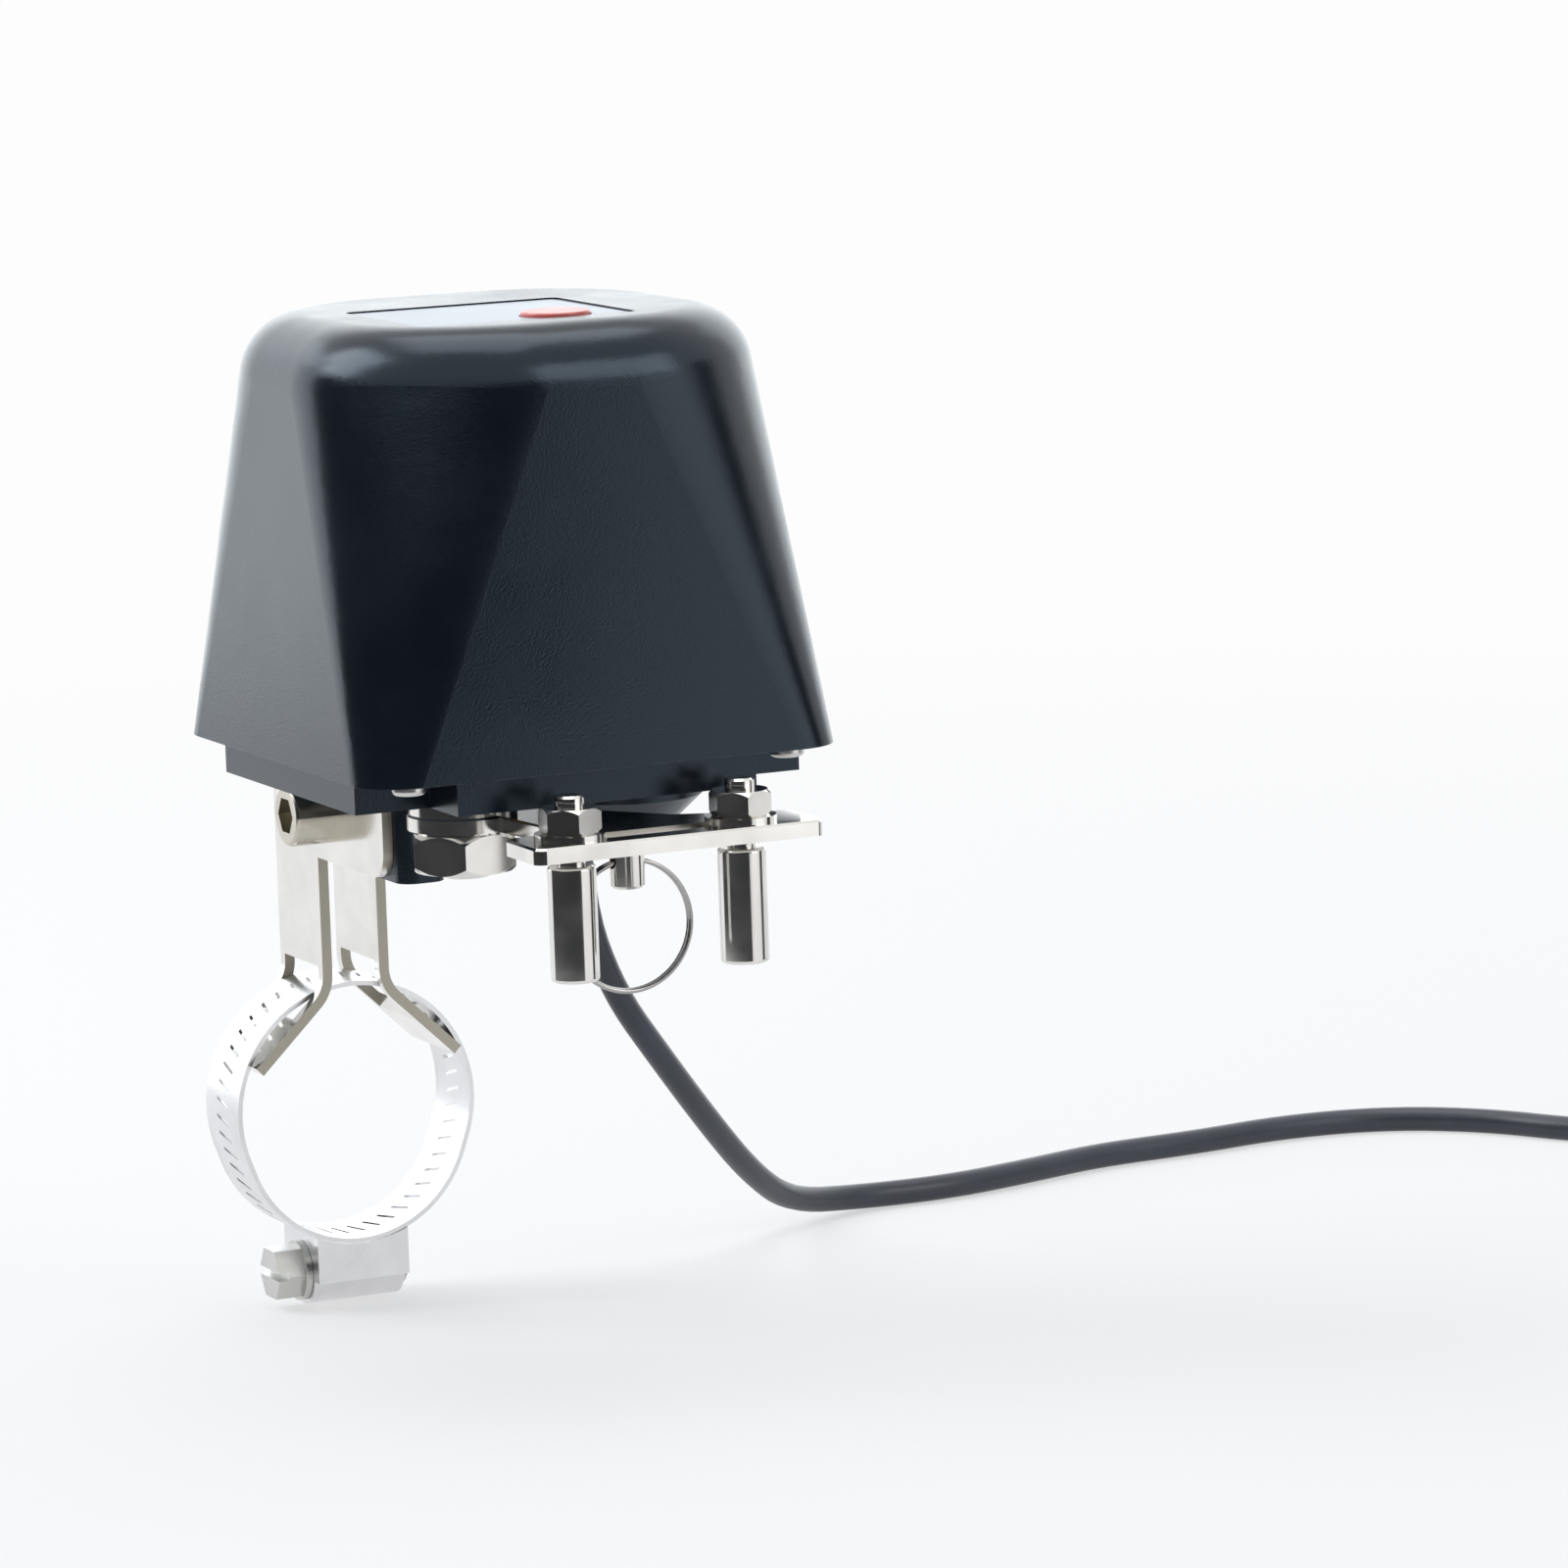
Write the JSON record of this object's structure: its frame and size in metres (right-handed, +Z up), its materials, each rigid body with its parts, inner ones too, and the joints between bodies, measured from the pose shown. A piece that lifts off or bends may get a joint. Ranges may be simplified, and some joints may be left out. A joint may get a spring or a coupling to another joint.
{
  "type": "valve actuator",
  "caption": "Motorised quarter-turn actuator that clamps beside a pipe and swings a ball valve's lever with two finger posts.",
  "frame": {"origin": "centre of the clamped pipe under the middle of the clamp band", "axes": "+X along the pipe toward the arm, +Z up toward the cover, +Y toward the cord's side"},
  "size_m": [0.1457, 0.3046, 0.1467],
  "materials": {
    "black_plastic": "satin",
    "rubber": "matte",
    "zinc_steel": "zinc plated",
    "label_grey": "satin",
    "red_plastic": "semi gloss",
    "board_green": "solder mask",
    "component_grey": "matte",
    "brass": "machined",
    "white_plastic": "satin",
    "nickel": "polished nickel plate",
    "band_steel": "rolled stainless",
    "cord_grey": "satin",
    "plug_black": "satin"
  },
  "bodies": {
    "housing": {"cover": "black_plastic", "base": "black_plastic", "base_gasket": "rubber", "cover_screws": "zinc_steel", "label_panel": "label_grey", "button_spring": "zinc_steel", "button_switch": "black_plastic", "main_board": "board_green", "board_screws": "zinc_steel", "board_parts": "component_grey", "gearbox_deck": "zinc_steel", "deck_pillars": "zinc_steel", "deck_screws": "zinc_steel", "motor_head": "zinc_steel", "motor_can": "zinc_steel", "motor_screws": "zinc_steel", "limit_switches": "component_grey", "upper_bush": "brass", "shaft_bush": "brass", "shaft_seal": "rubber", "pin_housing": "black_plastic", "pin_guide": "nickel", "pin_spring": "zinc_steel", "cable_gland": "rubber", "cord": "cord_grey", "cord_coil": "cord_grey", "cord_tail": "cord_grey", "plug_body": "plug_black", "plug_barrel": "nickel"},
    "arm": {"output_shaft": "nickel", "output_gear": "white_plastic", "switch_cam": "white_plastic", "arm_washer": "nickel", "arm_plate": "nickel", "arm_nut": "nickel"},
    "post_left": {"finger_post_left": "nickel", "post_washer_left": "nickel", "post_nut_left": "nickel"},
    "post_right": {"finger_post_right": "nickel", "post_washer_right": "nickel", "post_nut_right": "nickel"},
    "pin": {"pull_pin": "nickel", "pin_clip": "zinc_steel"},
    "clutch": {"clutch_gear": "white_plastic"},
    "ring": {"key_ring": "nickel"},
    "motor_shaft": {"motor_pinion": "brass"},
    "button": {"push_button": "red_plastic"},
    "bracket": {"bracket_left": "nickel", "bracket_right": "nickel", "pivot_bolt": "nickel", "pivot_washer": "nickel", "pivot_nut": "nickel", "clamp_band": "band_steel", "worm_housing": "band_steel"},
    "worm": {"worm_screw": "zinc_steel"}
  },
  "joints": [
    {"name": "arm_swing", "type": "hinge", "parent": "housing", "child": "arm", "pos_m": [0.0504, 0, 0.0593], "axis": [0, 0, 1], "range_deg": [-90, 0]},
    {"name": "post_left_slide", "type": "slide", "parent": "arm", "child": "post_left", "axis": [0, 1, 0], "range_m": [-0.0014, 0.006]},
    {"name": "post_right_slide", "type": "slide", "parent": "arm", "child": "post_right", "axis": [0, 1, 0], "range_m": [-0.006, 0.0014]},
    {"name": "pin_pull", "type": "slide", "parent": "housing", "child": "pin", "axis": [0, 0, -1], "range_m": [0, 0.0046], "stiffness_N_per_m": 900, "springref_m": -0.002, "deforming": ["pin_spring"]},
    {"name": "clutch_spin", "type": "hinge", "parent": "pin", "child": "clutch", "pos_m": [0.04468, 0.0269, 0.0593], "axis": [0, 0, 1], "range_deg": [0, 201.2]},
    {"name": "ring_swing", "type": "hinge", "parent": "pin", "child": "ring", "pos_m": [0.04468, 0.0269, 0.041], "axis": [0, 1, 0], "range_deg": [-80, 80]},
    {"name": "motor_spin", "type": "hinge", "parent": "housing", "child": "motor_shaft", "pos_m": [0.02368, 0.0269, 0.0593], "axis": [0, 0, 1], "range_deg": [-503, 0]},
    {"name": "button_press", "type": "slide", "parent": "housing", "child": "button", "axis": [0, 0, -1], "range_m": [0, 0.001], "stiffness_N_per_m": 500, "springref_m": -0.0008, "deforming": ["button_spring"]},
    {"name": "bracket_tilt", "type": "hinge", "parent": "housing", "child": "bracket", "pos_m": [0.0116, 0, 0.04665], "axis": [0, 1, 0], "range_deg": [-5, 5]},
    {"name": "clamp_screw_turn", "type": "hinge", "parent": "bracket", "child": "worm", "pos_m": [0, 0, -0.0217], "axis": [0, 1, 0], "continuous": true}
  ],
  "couplings": [
    {"joint": "clutch_spin", "follows": "arm_swing", "ratio": -2.2353},
    {"joint": "motor_spin", "follows": "arm_swing", "ratio": 5.5882}
  ]
}
